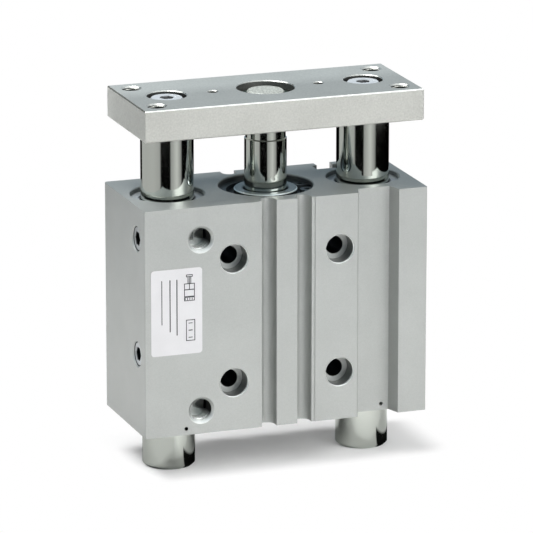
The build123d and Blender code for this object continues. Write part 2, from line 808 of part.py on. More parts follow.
# Piston, with a groove for the magnet, the guide ring and the seal
piston_radius = bore_radius - moving_gap
magnet_floor = piston_radius - ring_groove_depth
guide_ring_floor = bore_radius - running_play - guide_ring_thickness
magnet_z = piston_low + magnet_low
guide_ring_low_z = piston_low + guide_ring_low
piston_seal_z = piston_low + piston_seal_low
tail_clear_radius = rod_tail_diameter / 2 + seat_play
inner_groove_low = (piston_nut_seat + piston_length - o_ring_groove_width) / 2 + piston_low
with BuildPart() as piston:
    turn(
        (tail_clear_radius, piston_low + piston_nut_seat),
        (piston_nut_pocket_diameter / 2, piston_low + piston_nut_seat),
        (piston_nut_pocket_diameter / 2, piston_low),
        (piston_radius - piston_relief_depth, piston_low),
        (piston_radius - piston_relief_depth, piston_low + rear_relief_length),
        (piston_radius, piston_low + rear_relief_length),
        (piston_radius, magnet_z),
        (magnet_floor, magnet_z),
        (magnet_floor, magnet_z + magnet_height),
        (piston_radius, magnet_z + magnet_height),
        (piston_radius, guide_ring_low_z),
        (guide_ring_floor, guide_ring_low_z),
        (guide_ring_floor, guide_ring_low_z + guide_ring_height),
        (piston_radius, guide_ring_low_z + guide_ring_height),
        (piston_radius, piston_seal_z),
        (magnet_floor, piston_seal_z),
        (magnet_floor, piston_seal_z + piston_seal_height),
        (piston_radius, piston_seal_z + piston_seal_height),
        (piston_radius, piston_high - front_relief_length),
        (piston_radius - piston_relief_depth, piston_high - front_relief_length),
        (piston_radius - piston_relief_depth, piston_high),
        (tail_clear_radius, piston_high),
        (tail_clear_radius, inner_groove_low + o_ring_groove_width),
        (tail_clear_radius + o_ring_groove_depth, inner_groove_low + o_ring_groove_width),
        (tail_clear_radius + o_ring_groove_depth, inner_groove_low),
        (tail_clear_radius, inner_groove_low),
    )
piston.part.label = "piston"
export_step(piston.part, "parts/piston.step")

# Seal between the piston and the rod's tail
with BuildPart() as piston_o_ring:
    turn_soft(
        rod_tail_diameter / 2 + seat_play,
        tail_clear_radius + o_ring_groove_depth - seat_play,
        inner_groove_low + cover_groove_gap,
        inner_groove_low + cover_groove_gap + o_ring_height,
    )
piston_o_ring.part.label = "piston_o_ring"
export_step(piston_o_ring.part, "parts/piston_o_ring.step")

# Magnet ring that the sensors in the grooves detect
with BuildPart() as piston_magnet:
    turn(
        (magnet_floor + seat_play, magnet_z + seat_play),
        (piston_radius - seat_play, magnet_z + seat_play),
        (piston_radius - seat_play, magnet_z + magnet_height - seat_play),
        (magnet_floor + seat_play, magnet_z + magnet_height - seat_play),
    )
piston_magnet.part.label = "piston_magnet"
export_step(piston_magnet.part, "parts/piston_magnet.step")

# Guide ring that runs in the bore
with BuildPart() as piston_guide_ring:
    turn(
        (guide_ring_floor + seat_play, guide_ring_low_z + seat_play),
        (bore_radius - running_play, guide_ring_low_z + seat_play),
        (bore_radius - running_play, guide_ring_low_z + guide_ring_height - seat_play),
        (guide_ring_floor + seat_play, guide_ring_low_z + guide_ring_height - seat_play),
    )
piston_guide_ring.part.label = "piston_guide_ring"
export_step(piston_guide_ring.part, "parts/piston_guide_ring.step")

# Piston seal
with BuildPart() as piston_seal:
    turn_soft(
        magnet_floor + seat_play,
        piston_radius,
        piston_seal_z + seat_play,
        piston_seal_z + piston_seal_height - seat_play,
    )
piston_seal.part.label = "piston_seal"
export_step(piston_seal.part, "parts/piston_seal.step")

# Hexagon nut in the rear of the piston
with BuildPart() as piston_nut:
    with BuildSketch(Plane.XY.offset(piston_low + piston_nut_seat)):
        RegularPolygon(piston_nut_flats / 2, 6, major_radius=False)
        Circle(tail_clear_radius, mode=Mode.SUBTRACT)
    extrude(amount=-piston_nut_height)
piston_nut.part.label = "piston_nut"
export_step(piston_nut.part, "parts/piston_nut.step")
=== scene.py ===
import json
from math import cos, pi, radians, sin

import bpy
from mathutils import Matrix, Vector


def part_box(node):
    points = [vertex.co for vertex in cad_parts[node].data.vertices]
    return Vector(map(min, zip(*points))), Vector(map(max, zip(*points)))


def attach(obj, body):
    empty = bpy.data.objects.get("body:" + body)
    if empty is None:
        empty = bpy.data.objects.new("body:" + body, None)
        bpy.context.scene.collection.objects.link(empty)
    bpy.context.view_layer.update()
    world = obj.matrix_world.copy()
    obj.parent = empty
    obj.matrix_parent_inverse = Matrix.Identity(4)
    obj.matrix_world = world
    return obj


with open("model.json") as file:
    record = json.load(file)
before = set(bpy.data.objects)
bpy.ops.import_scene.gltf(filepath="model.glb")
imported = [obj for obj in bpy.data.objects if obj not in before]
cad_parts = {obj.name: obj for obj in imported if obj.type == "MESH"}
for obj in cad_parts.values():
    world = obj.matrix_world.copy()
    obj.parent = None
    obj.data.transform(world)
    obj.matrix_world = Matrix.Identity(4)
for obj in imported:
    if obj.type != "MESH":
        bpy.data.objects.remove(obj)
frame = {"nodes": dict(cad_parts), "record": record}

bl_info = {
    "name": "Guided Air Cylinder",
    "version": (1, 0, 0),
    "blender": (4, 5, 0),
    "location": "3D View > Sidebar > Air Cylinder",
    "description": "Dresses a compact guided air cylinder and sets its studio",
    "category": "Object",
}

MM = 0.001

# Places taken from the frame, so that every piece sits on what carries it
BODY_LOW, BODY_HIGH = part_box("cylinder_body")
PLATE_LOW, PLATE_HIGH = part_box("tool_plate")
GUIDE_LOW, GUIDE_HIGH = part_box("left_guide_rod")
PLUG_LOW, PLUG_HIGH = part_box("side_port_plugs")
SCREW_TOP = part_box("guide_rod_screws")[1].z
COVER_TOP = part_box("front_cover")[1].z
MOUNTS = {mount["name"]: mount for mount in frame["record"]["mounts"]}
FRONT = BODY_LOW.y
GUIDE_X = -(GUIDE_LOW.x + GUIDE_HIGH.x) / 2
GUIDE_RADIUS = (GUIDE_HIGH.x - GUIDE_LOW.x) / 2
PLUG_RADIUS = (PLUG_HIGH.y - PLUG_LOW.y) / 2

# Bores come as a centre and how far they stand to each side of it
CENTRE = ALONE = (0, 0, 0)
GUIDES_APART = (GUIDE_X, 0, 0)
SIDE_PORTS = (0, (PLUG_LOW.y + PLUG_HIGH.y) / 2, (PLUG_LOW.z + PLUG_HIGH.z) / 2)
SIDE_APART = (0, 0, (PLUG_HIGH.z - PLUG_LOW.z) / 2 - PLUG_RADIUS)

# Small sizes that the frame doesn't give
HUB_RADIUS = 12 * MM
SCRAPER_EDGE = 12.3 * MM
SOCKET_RADIUS = 3 * MM
PIN_X = GUIDE_X + 1.0 * MM
PIN_HEIGHT = 2.4 * MM

# Directions. The last is level, out of the front and a little to the left
LEFT, RIGHT, BACK, UP, DOWN = (-1, 0, 0), (1, 0, 0), (0, 1, 0), (0, 0, 1), (0, 0, -1)
FRONT_LEFT = (-0.34, -0.94, 0)

# How softly a bore's shade ends, and a start that lies before any depth
SOFT_EDGE = 0.1 * MM
FROM_THE_MOUTH = (-1.0, -0.9)


class StageSettings(bpy.types.PropertyGroup):
    """Sizes and colours of the studio."""

    azimuth: bpy.props.FloatProperty(
        name="Azimuth", description="Camera's turn round the cylinder",
        default=radians(-19.76), subtype="ANGLE",
    )
    elevation: bpy.props.FloatProperty(
        name="Elevation", description="Camera's height as an angle", default=radians(15.38), subtype="ANGLE"
    )
    distance: bpy.props.FloatProperty(
        name="Distance", description="From the camera to the cylinder", default=1.8274, subtype="DISTANCE"
    )
    aim: bpy.props.FloatVectorProperty(
        name="Aim", description="Point that the camera looks at",
        default=(0.00037, -0.00013, 0.07339), subtype="XYZ",
    )
    lens: bpy.props.FloatProperty(name="Lens", description="Focal length in millimetres", default=326.66)
    floor_size: bpy.props.FloatProperty(
        name="Floor", description="Width of the floor", default=6.0, subtype="DISTANCE"
    )
    floor_colour: bpy.props.StringProperty(name="Floor colour", description="sRGB hex", default="F4F4F4")
    # Painted shade on the floor, which the chromed feet mirror
    shade_width: bpy.props.FloatProperty(
        name="Shade", description="How far the dark floor reaches right of a foot's middle",
        default=0.021, subtype="DISTANCE",
    )
    floor_share: bpy.props.FloatProperty(
        name="Floor share", description="How much of the lit floor the camera sees", default=0.88
    )
    floor_lift: bpy.props.FloatProperty(
        name="Floor lift", description="Plain white that the camera sees over the lit floor", default=0.155
    )
    pool_middle: bpy.props.FloatVectorProperty(
        name="Pool middle", description="Middle of the patch of floor that shows the shadow",
        default=(0.006, 0.010, 0.0), size=3, subtype="XYZ",
    )
    pool_size: bpy.props.FloatVectorProperty(
        name="Pool", description="Half width and half depth of that patch",
        default=(0.050, 0.022, 1.0), size=3, subtype="XYZ",
    )
    pool_edge: bpy.props.FloatProperty(
        name="Pool edge", description="How wide the patch fades into white", default=0.014, subtype="DISTANCE"
    )
    room_light: bpy.props.FloatProperty(
        name="Room light", description="Strength of the room on matt surfaces", default=0.131
    )
    room_sheen: bpy.props.FloatProperty(
        name="Room sheen", description="Strength of the room in metal surfaces", default=0.393
    )
    sheen_colour: bpy.props.StringProperty(
        name="Sheen colour", description="sRGB hex of the room in metal", default="D2ECFF"
    )
    flag: bpy.props.FloatProperty(
        name="Flag", description="Level of the card behind, which metal shows", default=0.44
    )
    key: bpy.props.FloatProperty(name="Key", description="Power of the front softbox in watts", default=5.7)
    top: bpy.props.FloatProperty(
        name="Top", description="Power of the overhead softbox in watts", default=15.7
    )
    ring_radius: bpy.props.FloatProperty(
        name="Ring", description="Distance of the ring of cards", default=0.36, subtype="DISTANCE"
    )
    ring_height: bpy.props.FloatProperty(
        name="Ring height", description="Height of the ring of cards", default=0.055, subtype="DISTANCE"
    )


class FinishSettings(bpy.types.PropertyGroup):
    """Colours of the finishes, as sRGB hex."""

    anodised: bpy.props.StringProperty(name="Anodised", description="Body extrusion", default="B2B4B1")
    nickel: bpy.props.StringProperty(name="Nickel", description="Tool plate", default="C4C4BE")
    chrome: bpy.props.StringProperty(name="Chrome", description="Rods", default="C4C8C1")
    turned: bpy.props.StringProperty(name="Turned aluminium", description="Covers", default="B9BCBD")
    bronze: bpy.props.StringProperty(name="Bronze", description="Bushes", default="A57C45")
    rubber: bpy.props.StringProperty(name="Rubber", description="Seals", default="17181A")
    spring: bpy.props.StringProperty(name="Spring steel", description="Snap rings", default="474E50")
    oxide: bpy.props.StringProperty(name="Black oxide", description="Plate nut", default="43524A")
    zinc: bpy.props.StringProperty(name="Zinc plate", description="Plugs and scrapers", default="B4B8BA")
    flake: bpy.props.StringProperty(name="Zinc flake", description="Screws of the plate", default="CDD2D6")
    thread: bpy.props.StringProperty(name="Thread", description="Cut threads", default="D4D4CC")
    # Painted shade: the cover is dark round its hub
    cover: bpy.props.StringProperty(name="Cover", description="Front cover round its hub", default="353838")
    magnet: bpy.props.StringProperty(name="Magnet", description="Bonded magnet", default="3A3836")
    plastic: bpy.props.StringProperty(name="Guide ring", description="Filled plastic", default="6E4A2C")
    label: bpy.props.StringProperty(name="Label", description="Label film", default="D3D3D5")
    ink: bpy.props.StringProperty(name="Ink", description="Printed lines", default="2E3033")


class LabelSettings(bpy.types.PropertyGroup):
    """Size and place of the label on the front."""

    centre_x: bpy.props.FloatProperty(
        name="Across", description="Middle of the label", default=-43.6 * MM, subtype="DISTANCE"
    )
    centre_z: bpy.props.FloatProperty(
        name="Up", description="Middle of the label above the body's foot",
        default=48.1 * MM, subtype="DISTANCE",
    )
    width: bpy.props.FloatProperty(name="Width", description="Label", default=20 * MM, subtype="DISTANCE")
    height: bpy.props.FloatProperty(name="Height", description="Label", default=33 * MM, subtype="DISTANCE")
    corner: bpy.props.FloatProperty(name="Corner", description="Radius", default=1.2 * MM, subtype="DISTANCE")
    thickness: bpy.props.FloatProperty(
        name="Thickness", description="Film", default=0.1 * MM, subtype="DISTANCE"
    )
    stroke: bpy.props.FloatProperty(
        name="Stroke", description="Printed lines", default=0.3 * MM, subtype="DISTANCE"
    )
    ink_thickness: bpy.props.FloatProperty(
        name="Ink", description="Layer", default=0.03 * MM, subtype="DISTANCE"
    )
    ink_corner: bpy.props.FloatProperty(
        name="Ink corner", description="Radius", default=0.06 * MM, subtype="DISTANCE"
    )


class ThreadSettings(bpy.types.PropertyGroup):
    """Pitches and lengths of the threads."""

    screw_pitch: bpy.props.FloatProperty(
        name="Screw pitch", description="M8 coarse", default=1.25 * MM, subtype="DISTANCE"
    )
    screw_start: bpy.props.FloatProperty(
        name="Screw start", description="Below the plate's face", default=0.8 * MM, subtype="DISTANCE"
    )
    screw_length: bpy.props.FloatProperty(
        name="Screw length", description="Tapped length in the plate", default=10 * MM, subtype="DISTANCE"
    )
    port_pitch: bpy.props.FloatProperty(
        name="Port pitch", description="G1/8 pipe thread", default=0.907 * MM, subtype="DISTANCE"
    )
    port_start: bpy.props.FloatProperty(
        name="Port start", description="Behind the body's front", default=1.2 * MM, subtype="DISTANCE"
    )
    port_length: bpy.props.FloatProperty(
        name="Port length", description="Tapped length of a port", default=6 * MM, subtype="DISTANCE"
    )
    depth: bpy.props.FloatProperty(
        name="Ridge", description="How far a ridge stands in", default=0.3 * MM, subtype="DISTANCE"
    )


def linear(hex_colour):
    """Turn an sRGB hex colour into a linear one with full alpha."""
    channels = [int(hex_colour[i : i + 2], 16) / 255 for i in (0, 2, 4)]
    return tuple(c / 12.92 if c <= 0.04045 else ((c + 0.055) / 1.055) ** 2.4 for c in channels) + (1.0,)


def add_node(tree, kind, settings=None, inputs=None):
    """Add one node with its settings; an input given as a socket is linked."""
    node = tree.nodes.new(kind)
    for name, value in (settings or {}).items():
        setattr(node, name, value)
    for key, value in (inputs or {}).items():
        if isinstance(value, bpy.types.NodeSocket):
            tree.links.new(value, node.inputs[key])
        else:
            node.inputs[key].default_value = value
    return node


def new_material(name):
    """Start an empty node material and return it with its tree and its object coordinates."""
    material = bpy.data.materials.new(name)
    material.use_nodes = True
    tree = material.node_tree
    tree.nodes.clear()
    coordinates = add_node(tree, "ShaderNodeTexCoord").outputs["Object"]
    return material, tree, coordinates


def surface(tree, colour, roughness, metallic, grain, strength, distance):
    """End a material. Its grain raises the surface, and what is even goes straight on a socket."""
    raised = add_node(
        tree,
        "ShaderNodeBump",
        inputs={"Height": grain.outputs["Fac"], "Strength": strength, "Distance": distance},
    )
    shader = add_node(
        tree,
        "ShaderNodeBsdfPrincipled",
        inputs={
            "Base Color": colour,
            "Roughness": roughness,
            "Metallic": metallic,
            "Normal": raised.outputs[0],
        },
    )
    add_node(tree, "ShaderNodeOutputMaterial", inputs={"Surface": shader.outputs[0]})


def size_to_scale(size):
    """Noise scale at which one feature is about this many metres wide."""
    return 1.0 / size


def from_nearest(tree, coordinates, centre, spacing):
    """Count a place from the nearest of the axes that stand this far to each side of a centre."""
    first = tuple(middle - apart for middle, apart in zip(centre, spacing))
    # Where nothing repeats, the reach is more than the floor's
    reach = tuple(apart or 10.0 for apart in spacing)
    moved = add_node(tree, "ShaderNodeVectorMath", {"operation": "SUBTRACT"}, {0: coordinates, 1: first})
    return add_node(
        tree,
        "ShaderNodeVectorMath",
        {"operation": "WRAP"},
        {0: moved.outputs[0], 1: reach, 2: tuple(-part for part in reach)},
    ).outputs[0]


def off_axis(tree, place, axis):
    """How far a place is from the axis that it is counted from."""
    across = tuple(1 - abs(part) for part in axis)
    flat = add_node(tree, "ShaderNodeVectorMath", {"operation": "MULTIPLY"}, {0: place, 1: across})
    length = add_node(tree, "ShaderNodeVectorMath", {"operation": "LENGTH"}, {0: flat.outputs[0]})
    return length.outputs["Value"]


# A Map Range node's inputs 1 to 4 are the start and end of its range, and the levels there
def fade(tree, vector, direction, low, high, at_low, at_high):
    """A level that changes between two places along a direction, and holds beyond them."""
    reach = add_node(tree, "ShaderNodeVectorMath", {"operation": "DOT_PRODUCT"}, {0: vector, 1: direction})
    return add_node(
        tree,
        "ShaderNodeMapRange",
        inputs={"Value": reach.outputs["Value"], 1: low, 2: high, 3: at_low, 4: at_high},
    ).outputs[0]


def bore_shade(tree, coordinates, centre, spacing, inwards, radius, start, end, stop, level):
    """A factor that turns to a level in bores about a centre, over a range of depth and up to a last one."""
    distance = off_axis(tree, from_nearest(tree, coordinates, centre, spacing), inwards)
    kept = add_node(
        tree,
        "ShaderNodeMapRange",
        inputs={"Value": distance, 1: radius, 2: radius + SOFT_EDGE, 3: 0.0, 4: 1.0},
    ).outputs[0]
    for low, high, at_low, at_high in ((start, end, 1.0, 0.0), (stop, stop + SOFT_EDGE, 0.0, 1.0)):
        outside = fade(tree, coordinates, inwards, low, high, at_low, at_high)
        kept = add_node(tree, "ShaderNodeMath", {"operation": "MAXIMUM"}, {0: kept, 1: outside}).outputs[0]
    return add_node(
        tree, "ShaderNodeMapRange", inputs={"Value": kept, 1: 0.0, 2: 1.0, 3: level, 4: 1.0}
    ).outputs[0]


# Real grain is finer than 0.1 mm, too fine to show, so it is drawn 0.15 to 0.7 mm wide
def varied(tree, coordinates, hex_colour, grain, amount, blotch=12 * MM, blotch_amount=0.03, shades=()):
    """A colour with fine grain and soft blotches, given by their real size, and its painted light and shade.
    """
    noises, factors = [], []
    for size, detail, change in ((grain, 3.0, amount), (blotch, 2.0, blotch_amount)):
        noise = add_node(
            tree,
            "ShaderNodeTexNoise",
            inputs={"Vector": coordinates, "Scale": size_to_scale(size), "Detail": detail},
        )
        ranged = add_node(
            tree,
            "ShaderNodeMapRange",
            inputs={"Value": noise.outputs["Fac"], 1: 0.3, 2: 0.7, 3: 1 - change, 4: 1 + change},
        )
        noises.append(noise)
        factors.append(ranged.outputs[0])
    product = 1.0
    for factor in (*factors, *shades):
        product = add_node(
            tree, "ShaderNodeMath", {"operation": "MULTIPLY"}, {0: product, 1: factor}
        ).outputs[0]
    colour = add_node(
        tree,
        "ShaderNodeVectorMath",
        {"operation": "SCALE"},
        {0: linear(hex_colour)[:3], "Scale": product},
    )
    return colour.outputs[0], noises[0]


def grained(name, hex_colour, grain, amount, roughness, metallic, rise, depth=0.01 * MM):
    """A finish with one grain all over, which varies the colour and rises a little."""
    material, tree, coordinates = new_material(name)
    colour, noise = varied(tree, coordinates, hex_colour, grain, amount)
    surface(tree, colour, roughness, metallic, noise, rise, depth)
    return material


def anodised_extrusion(settings):
    """Clear anodised aluminium, etched matt first: an even grain with no lay and a broad soft sheen."""
    material, tree, coordinates = new_material("clear_anodised_extrusion")
    holes, upper, lower = MOUNTS["back_screw_holes"], MOUNTS["upper_port"], MOUNTS["lower_port"]
    mounts = (0, 0, holes["pos_m"][2])
    mounts_apart = (holes["dims"]["spacing_x_mm"] / 2 * MM, 0, holes["dims"]["spacing_y_mm"] / 2 * MM)
    ports = (upper["pos_m"][0], 0, (upper["pos_m"][2] + lower["pos_m"][2]) / 2)
    ports_apart = (0, 0, (upper["pos_m"][2] - lower["pos_m"][2]) / 2)
    pins = (0, 0, BODY_LOW.z + PIN_HEIGHT)
    # Painted light and shade: a port's rim and lower left walls lighter, and its upper right dark inside
    in_port = from_nearest(tree, coordinates, ports, ports_apart)
    rim_painted_light = fade(tree, in_port, UP, -4 * MM, 2 * MM, 1.6, 0.9)
    port_painted_light = fade(tree, in_port, (0.9, 0, 0.43), 0.8 * MM, 3 * MM, 1.5, 0.03)
    # Painted light and shade: top counterbores lighter in front, dark behind, and dark at a guide rod's front
    in_guide = from_nearest(tree, coordinates, CENTRE, GUIDES_APART)
    centre_painted_light = fade(tree, coordinates, BACK, -9 * MM, -3 * MM, 3.0, 0.3)
    guide_painted_light = fade(tree, coordinates, BACK, -5 * MM, 1 * MM, 2.4, 0.5)
    foot_painted_shade = fade(tree, in_guide, FRONT_LEFT, 2 * MM, 4 * MM, 1.0, 0.02)
    # Cut holes: painted highlights at the mouths, painted shade further in. Depths count from the face,
    # in millimetres, and a radius lies just outside its hole's
    shades = [
        bore_shade(
            tree, coordinates, centre, spacing, inwards, radius * MM,
            face + start * MM, face + end * MM, face + stop * MM, level,
        )
        for centre, spacing, inwards, face, radius, start, end, stop, level in (
            # Mounting holes, painted: a bright mouth, a shaded wall, a lighter step and a dark way through
            (mounts, mounts_apart, BACK, FRONT, 5.6, -0.6, -0.5, 7.0, 2.2),
            (mounts, mounts_apart, BACK, FRONT, 5.6, 0.8, 1.3, 7.0, 0.23),
            (mounts, mounts_apart, BACK, FRONT, 5.35, 5.9, 6.1, 7.0, 2.3),
            (mounts, mounts_apart, BACK, FRONT, 3.45, 6.4, 6.6, 46.0, 0.02),
            # Ports, painted: the rim, a lighter thread, and past it a dark wall outside the thread's own bore
            (ports, ports_apart, BACK, FRONT, 5.25, -0.6, -0.5, 1.1, rim_painted_light),
            (ports, ports_apart, BACK, FRONT, 4.6, 1.1, 1.3, 9.0, port_painted_light),
            (ports, ports_apart, BACK, FRONT, 4.5, 0.9, 1.1, 9.0, 1.25),
            (ports, ports_apart, BACK, FRONT, 7.0, 3.0, 3.2, 12.0, 0.02),
            (ports, ports_apart, BACK, FRONT, 4.33, 3.0, 3.2, 12.0, 50.0),
            # Painted shade in pin holes and the gap round each plug, light and shade in the top's
            # counterbores
            (pins, (PIN_X, 0, 0), BACK, FRONT, 0.8, 0.2, 0.5, 3.2, 0.02),
            (SIDE_PORTS, SIDE_APART, RIGHT, BODY_LOW.x, 4.75, 0.4, 0.5, 1.2, 0.05),
            (CENTRE, ALONE, DOWN, -BODY_HIGH.z, 18.3, 0.3, 0.9, 6.0, centre_painted_light),
            (CENTRE, GUIDES_APART, DOWN, -BODY_HIGH.z, 14.2, 0.2, 0.5, 7.0, guide_painted_light),
            (CENTRE, GUIDES_APART, DOWN, -BODY_HIGH.z, 14.2, 1.1, 1.2, 7.0, foot_painted_shade),
        )
    ]
    colour, grain = varied(tree, coordinates, settings.anodised, 0.35 * MM, 0.045, 14 * MM, 0.025, shades)
    surface(tree, colour, 0.5, 0.75, grain, 0.25, 0.02 * MM)
    return material


def nickel_plate(settings):
    """Nickel over ground steel: warmer than the body, with a fine grain."""
    material, tree, coordinates = new_material("satin_nickel_plate")
    holes, pins = MOUNTS["plate_screw_holes"]["dims"], MOUNTS["plate_dowel_holes"]["dims"]
    tapped_apart = (holes["spacing_x_mm"] / 2 * MM, holes["spacing_y_mm"] / 2 * MM, 0)
    pins_apart = (pins["spacing_x_mm"] / 2 * MM, 0, 0)
    # The screws' counterbores, the tapped holes, the pin holes and the nut's counterbore have painted shade
    # inside
    shades = [
        bore_shade(
            tree, coordinates, CENTRE, spacing, DOWN, radius * MM,
            start * MM - PLATE_HIGH.z, end * MM - PLATE_HIGH.z, -PLATE_LOW.z, level,
        )
        for spacing, radius, start, end, level in (
            (GUIDES_APART, 7.6, 0.3, 0.5, 0.08),
            (tapped_apart, 3.6, 0.55, 0.7, 0.08),
            (pins_apart, 2.1, 0.3, 0.6, 0.3),
            (ALONE, 11.1, 0.3, 0.5, 0.25),
        )
    ]
    # Painted sheen, in rubbed and beside: the top lighter towards its back edge, the other faces more evenly
    normal = add_node(tree, "ShaderNodeTexCoord").outputs["Normal"]
    rubbed = fade(tree, coordinates, BACK, -1 * MM, 10 * MM, 0.94, 1.23)
    beside = fade(tree, coordinates, BACK, PLATE_LOW.y, PLATE_HIGH.y, 0.98, 1.2)
    shades.append(fade(tree, normal, UP, 0.9, 0.95, beside, rubbed))
    # The broken edges: a painted highlight on the front one, the left one smooth enough to mirror what is
    # dark
    slant = 0.7071
    edge = PLATE_LOW.y + 0.6 * MM
    front_edge_highlight = fade(tree, coordinates, BACK, edge, edge + 0.2 * MM, 1.8, 1.0)
    shades.append(fade(tree, normal, (0, -slant, slant), 0.96, 0.985, 1.0, front_edge_highlight))
    roughness = fade(tree, normal, (-slant, 0, slant), 0.96, 0.985, 0.46, 0.12)
    colour, grain = varied(tree, coordinates, settings.nickel, 0.7 * MM, 0.08, 22 * MM, 0.05, shades)
    surface(tree, colour, roughness, 0.8, grain, 0.2, 0.02 * MM)
    return material


def hard_chrome(settings):
    """Hard chrome on a centreless ground rod: a mirror with a very fine lay round the rod, and a bare end."""
    material, tree, coordinates = new_material("ground_hard_chrome")
    # The piston rod's end in the plate is faced steel: rough, hardly mirroring and open grained
    faced = PLATE_HIGH.z - 2.2 * MM
    roughness, metallic, at_end = (
        fade(tree, coordinates, UP, faced, faced + 0.2 * MM, rod, end)
        for rod, end in ((0.07, 0.6), (1.0, 0.35), (0.0, 1.0))
    )
    crystals = add_node(
        tree,
        "ShaderNodeTexNoise",
        inputs={"Vector": coordinates, "Scale": size_to_scale(0.7 * MM), "Detail": 3.0},
    )
    worn = add_node(
        tree,
        "ShaderNodeMapRange",
        inputs={"Value": crystals.outputs["Fac"], 1: 0.35, 2: 0.65, 3: 0.5, 4: 1.05},
    )
    level = add_node(
        tree, "ShaderNodeMix", {"data_type": "FLOAT"}, {"Factor": at_end, "A": 1.0, "B": worn.outputs[0]}
    )
    colour = add_node(
        tree,
        "ShaderNodeVectorMath",
        {"operation": "SCALE"},
        {0: linear(settings.chrome)[:3], "Scale": level.outputs[0]},
    )
    stretched = add_node(
        tree, "ShaderNodeMapping", inputs={"Vector": coordinates, "Scale": (0.02, 0.02, 1.0)}
    )
    lay = add_node(
        tree,
        "ShaderNodeTexNoise",
        inputs={"Vector": stretched.outputs[0], "Scale": size_to_scale(0.25 * MM), "Detail": 2.0},
    )
    surface(tree, colour.outputs[0], roughness, metallic, lay, 0.02, 0.01 * MM)
    return material


def pressed_scraper(settings):
    """A pressed zinc plated steel case round a black rubber lip at the rod, painted dark in front as shade.
    """
    material, tree, coordinates = new_material("zinc_plated_scraper")
    lip = bore_shade(
        tree, coordinates, CENTRE, GUIDES_APART, DOWN, GUIDE_RADIUS + 0.45 * MM, *FROM_THE_MOUTH, 0.0, 0.35
    )
    # Painted shade past the case's edge, towards the front
    place = from_nearest(tree, coordinates, CENTRE, GUIDES_APART)
    front_painted_shade = fade(tree, place, FRONT_LEFT, 2 * MM, 4 * MM, 1.0, 0.05)
    gap = add_node(
        tree,
        "ShaderNodeMapRange",
        inputs={
            "Value": off_axis(tree, place, UP),
            1: SCRAPER_EDGE,
            2: SCRAPER_EDGE + 0.2 * MM,
            3: 1.0,
            4: front_painted_shade,
        },
    ).outputs[0]
    colour, grain = varied(tree, coordinates, settings.zinc, 0.3 * MM, 0.08, 3 * MM, 0.06, (lip, gap))
    surface(tree, colour, 0.45, 0.6, grain, 0.2, 0.01 * MM)
    return material


def turned_aluminium(settings):
    """Turned aluminium: a light, even sheen."""
    return grained(
        "turned_aluminium", settings.turned, grain=0.3 * MM, amount=0.05,
        roughness=0.38, metallic=0.85, rise=0.15,
    )


def front_cover_aluminium(settings):
    """Turned aluminium, painted dark as shade round the hub, and a painted highlight on its broken edge."""
    material, tree, coordinates = new_material("cover_painted_dark")
    # Painted: the hub's face lighter than the shade round it, and a brighter highlight on its broken edge
    faced = [
        bore_shade(
            tree, coordinates, CENTRE, ALONE, DOWN, radius, *FROM_THE_MOUTH, 0.45 * MM - COVER_TOP, level
        )
        for radius, level in ((HUB_RADIUS + 0.05 * MM, 26.0), (HUB_RADIUS - 0.4 * MM, 0.27))
    ]
    colour, grain = varied(tree, coordinates, settings.cover, 0.3 * MM, 0.05, shades=faced)
    surface(tree, colour, 0.34, 0.85, grain, 0.15, 0.01 * MM)
    return material


def zinc_flake(settings):
    """Zinc flake on screw heads: a light, slightly blue silver, nearly matt, with painted shade in the
    socket.
    """
    material, tree, coordinates = new_material("zinc_flake_steel")
    socket = bore_shade(
        tree, coordinates, CENTRE, GUIDES_APART, DOWN, SOCKET_RADIUS,
        0.1 * MM - SCREW_TOP, 0.4 * MM - SCREW_TOP, 6 * MM - SCREW_TOP, 0.22,
    )
    colour, grain = varied(tree, coordinates, settings.flake, 0.3 * MM, 0.06, 3 * MM, 0.04, (socket,))
    surface(tree, colour, 0.38, 0.35, grain, 0.2, 0.01 * MM)
    return material


def cut_thread(settings):
    """The flank of a freshly cut thread, brighter than the plate round it."""
    return grained(
        "cut_thread", settings.thread, grain=0.3 * MM, amount=0.06,
        roughness=0.3, metallic=0.8, rise=0.15,
    )


def sintered_bronze(settings):
    """Oil filled sintered bronze: warm, with fine open pores."""
    return grained(
        "sintered_bronze", settings.bronze, grain=0.2 * MM, amount=0.12,
        roughness=0.42, metallic=0.9, rise=0.4, depth=0.02 * MM,
    )


def nitrile_rubber(settings):
    """Moulded nitrile rubber: black, faintly grey where it has rubbed."""
    return grained(
        "moulded_nitrile_rubber", settings.rubber, grain=0.3 * MM, amount=0.2,
        roughness=0.55, metallic=0.0, rise=0.2,
    )


def phosphated_spring_steel(settings):
    """Phosphated spring steel: dark grey, fine crystals, slightly oily."""
    return grained(
        "phosphated_spring_steel", settings.spring, grain=0.2 * MM, amount=0.12,
        roughness=0.35, metallic=0.7, rise=0.3,
    )


def black_oxide(settings):
    """Black oxide on turned steel: a dark, slightly green satin."""
    return grained(
        "black_oxide_steel", settings.oxide, grain=0.3 * MM, amount=0.15,
        roughness=0.4, metallic=0.6, rise=0.2,
    )


def zinc_plate(settings):
    """Bright zinc on cold formed steel: clean grey with a soft blotch, and painted shade in the plugs'
    sockets.
    """
    material, tree, coordinates = new_material("zinc_plated_steel")
    socket = bore_shade(
        tree, coordinates, SIDE_PORTS, SIDE_APART, RIGHT, SOCKET_RADIUS,
        PLUG_LOW.x + 0.1 * MM, PLUG_LOW.x + 0.5 * MM, PLUG_HIGH.x, 0.1,
    )
    colour, grain = varied(tree, coordinates, settings.zinc, 0.3 * MM, 0.08, 3 * MM, 0.06, (socket,))
    surface(tree, colour, 0.3, 0.95, grain, 0.2, 0.01 * MM)
    return material


